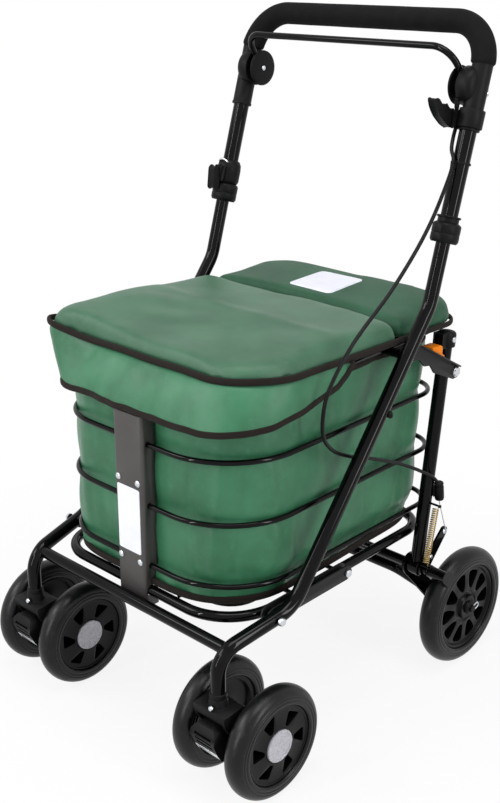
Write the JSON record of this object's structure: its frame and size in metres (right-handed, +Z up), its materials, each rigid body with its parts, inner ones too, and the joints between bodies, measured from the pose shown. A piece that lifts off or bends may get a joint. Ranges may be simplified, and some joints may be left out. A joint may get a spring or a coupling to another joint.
{
  "type": "shopping rollator",
  "caption": "Folding walking frame with a padded lift-up seat over a cloth shopping bag, swivel casters in front, braked wheels behind and a height-adjustable foam handle.",
  "frame": {"origin": "on the floor under the middle of the overall box of width and length", "axes": "+Z up, -Y towards the front casters, +Y towards the person pushing, +X to the side with the brake cable"},
  "size_m": [0.491, 0.5829, 0.9157],
  "materials": {
    "frame_steel": "gloss black paint",
    "grey_plate": "satin dark grey paint",
    "pedal": "ribbed satin plastic",
    "vinyl": "green grained coated cloth",
    "board": "dark stained board",
    "black_plastic": "satin moulded",
    "foam": "fine matt foam",
    "orange_plastic": "gloss moulded",
    "spring": "passivated wire",
    "cable": "smooth sheath",
    "tyre": "moulded black rubber",
    "rim": "gloss moulded"
  },
  "bodies": {
    "frame": {"side_tube_right": "frame_steel", "side_tube_left": "frame_steel", "front_crossbar": "frame_steel", "foot_bracket_right": "grey_plate", "foot_bracket_left": "grey_plate", "front_post": "grey_plate", "basket_ring_1": "frame_steel", "basket_ring_2": "frame_steel", "basket_ring_3": "frame_steel", "platform_frame": "frame_steel", "platform_grid": "frame_steel", "bag": "vinyl", "seat_frame": "frame_steel", "rear_board": "board", "rear_cushion": "vinyl", "fold_bracket_right": "grey_plate", "fold_bracket_left": "grey_plate", "brake_cable": "cable"},
    "handle": {"handle_tube_right": "frame_steel", "handle_tube_left": "frame_steel", "height_collar_right": "black_plastic", "height_collar_left": "black_plastic", "handle_joint_right": "black_plastic", "handle_joint_left": "black_plastic", "handle_bar": "frame_steel", "foam_grip": "foam", "stick_hook": "black_plastic", "cable_adjuster": "black_plastic"},
    "clamp": {"clamp_lever": "black_plastic"},
    "brake_handle": {"brake_bail": "frame_steel"},
    "lid": {"lid_board": "board", "lid_cushion": "vinyl", "lid_skirt": "vinyl"},
    "rear_frame": {"rear_leg_right": "frame_steel", "rear_leg_left": "frame_steel", "axle_frame": "frame_steel", "cable_stop": "black_plastic", "leg_cap_right": "black_plastic", "leg_cap_left": "black_plastic", "return_spring": "spring", "brake_wire": "cable"},
    "brake": {"brake_shaft": "frame_steel"},
    "catch_right": {"fold_catch_right": "orange_plastic"},
    "catch_left": {"fold_catch_left": "orange_plastic"},
    "rear_wheel_right": {"rear_wheel_right_tyre": "tyre", "rear_wheel_right_rim": "rim"},
    "rear_wheel_left": {"rear_wheel_left_tyre": "tyre", "rear_wheel_left_rim": "rim"},
    "caster_right": {"caster_fork_right": "black_plastic"},
    "pedal_right": {"caster_pedal_right": "pedal"},
    "caster_right_wheel_right": {"caster_right_right_tyre": "tyre", "caster_right_right_rim": "rim"},
    "caster_right_wheel_left": {"caster_right_left_tyre": "tyre", "caster_right_left_rim": "rim"},
    "caster_left": {"caster_fork_left": "black_plastic"},
    "pedal_left": {"caster_pedal_left": "pedal"},
    "caster_left_wheel_right": {"caster_left_right_tyre": "tyre", "caster_left_right_rim": "rim"},
    "caster_left_wheel_left": {"caster_left_left_tyre": "tyre", "caster_left_left_rim": "rim"}
  },
  "joints": [
    {"name": "handle_height", "type": "slide", "parent": "frame", "child": "handle", "axis": [0, 0.2812, 0.9596], "range_m": [-0.065, 0.05], "deforming": ["brake_cable"]},
    {"name": "clamp_cam", "type": "hinge", "parent": "handle", "child": "clamp", "pos_m": [-0.2, 0.11107, 0.68415], "axis": [-1, 0, 0], "range_deg": [0, 90]},
    {"name": "brake_squeeze", "type": "hinge", "parent": "handle", "child": "brake_handle", "pos_m": [0, 0.18333, 0.825], "axis": [-1, 0, 0], "range_deg": [0, 36], "stiffness_Nm_per_rad": 0.8, "springref_deg": -17.19},
    {"name": "lid_hinge", "type": "hinge", "parent": "frame", "child": "lid", "pos_m": [0, 0.078, 0.536], "axis": [-1, 0, 0], "range_deg": [0, 92]},
    {"name": "rear_fold", "type": "hinge", "parent": "frame", "child": "rear_frame", "pos_m": [0, 0.187, 0.446], "axis": [-1, 0, 0], "range_deg": [0, 18]},
    {"name": "brake_apply", "type": "hinge", "parent": "rear_frame", "child": "brake", "pos_m": [0, 0.1408, 0.1607], "axis": [1, 0, 0], "range_deg": [0, 6], "deforming": ["return_spring", "brake_wire"]},
    {"name": "catch_right_release", "type": "hinge", "parent": "rear_frame", "child": "catch_right", "pos_m": [0.176, 0.16, 0.4885], "axis": [-1, 0, 0], "range_deg": [0, 25], "stiffness_Nm_per_rad": 0.02, "springref_deg": -17.19},
    {"name": "catch_left_release", "type": "hinge", "parent": "rear_frame", "child": "catch_left", "pos_m": [-0.176, 0.16, 0.4885], "axis": [-1, 0, 0], "range_deg": [0, 25], "stiffness_Nm_per_rad": 0.02, "springref_deg": -17.19},
    {"name": "rear_wheel_right_spin", "type": "hinge", "parent": "rear_frame", "child": "rear_wheel_right", "pos_m": [0.212, 0.2042, 0.0873], "axis": [1, 0, 0], "continuous": true},
    {"name": "rear_wheel_left_spin", "type": "hinge", "parent": "rear_frame", "child": "rear_wheel_left", "pos_m": [-0.212, 0.2042, 0.0873], "axis": [1, 0, 0], "continuous": true},
    {"name": "caster_right_swivel", "type": "hinge", "parent": "frame", "child": "caster_right", "pos_m": [0.184, -0.2625, 0.141], "axis": [0, 0, 1], "continuous": true},
    {"name": "pedal_right_lock", "type": "hinge", "parent": "caster_right", "child": "pedal_right", "pos_m": [0.184, -0.259, 0.1], "axis": [1, 0, 0], "range_deg": [0, 10]},
    {"name": "caster_right_wheel_right_spin", "type": "hinge", "parent": "caster_right", "child": "caster_right_wheel_right", "pos_m": [0.2299, -0.2164, 0.075], "axis": [1, 0, 0], "continuous": true},
    {"name": "caster_right_wheel_left_spin", "type": "hinge", "parent": "caster_right", "child": "caster_right_wheel_left", "pos_m": [0.1381, -0.2164, 0.075], "axis": [1, 0, 0], "continuous": true},
    {"name": "caster_left_swivel", "type": "hinge", "parent": "frame", "child": "caster_left", "pos_m": [-0.184, -0.2625, 0.141], "axis": [0, 0, 1], "continuous": true},
    {"name": "pedal_left_lock", "type": "hinge", "parent": "caster_left", "child": "pedal_left", "pos_m": [-0.184, -0.259, 0.1], "axis": [1, 0, 0], "range_deg": [0, 10]},
    {"name": "caster_left_wheel_right_spin", "type": "hinge", "parent": "caster_left", "child": "caster_left_wheel_right", "pos_m": [-0.1381, -0.2164, 0.075], "axis": [1, 0, 0], "continuous": true},
    {"name": "caster_left_wheel_left_spin", "type": "hinge", "parent": "caster_left", "child": "caster_left_wheel_left", "pos_m": [-0.2299, -0.2164, 0.075], "axis": [1, 0, 0], "continuous": true}
  ],
  "couplings": [
    {"joint": "brake_apply", "follows": "brake_squeeze", "ratio": 0.16666}
  ]
}
